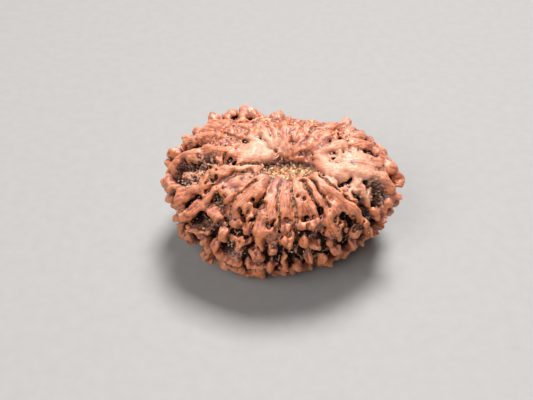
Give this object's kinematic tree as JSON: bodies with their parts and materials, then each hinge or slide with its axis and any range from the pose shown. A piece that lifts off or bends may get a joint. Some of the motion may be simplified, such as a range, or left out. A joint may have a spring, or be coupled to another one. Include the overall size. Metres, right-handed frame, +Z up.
{
  "type": "rudraksha seed",
  "caption": "Oval woody rudraksha seed with meridional ridges, knobs and deep pits round a slot-shaped scar, lying on a small worn spot.",
  "frame": {"origin": "centre of the bounding box at the surface that the seed lies on", "axes": "+X along the seed's length, to the viewer's right; +Y to the back; +Z up; the scar's pole leans 24 degrees from +Z towards -Y"},
  "size_m": [0.03, 0.0214, 0.0187],
  "materials": {
    "seed_shell": "hard waxy shell, salmon to orange brown on worn crests, dark brown in pits"
  },
  "bodies": {
    "root": {"rudraksha_seed": "seed_shell"}
  },
  "joints": []
}
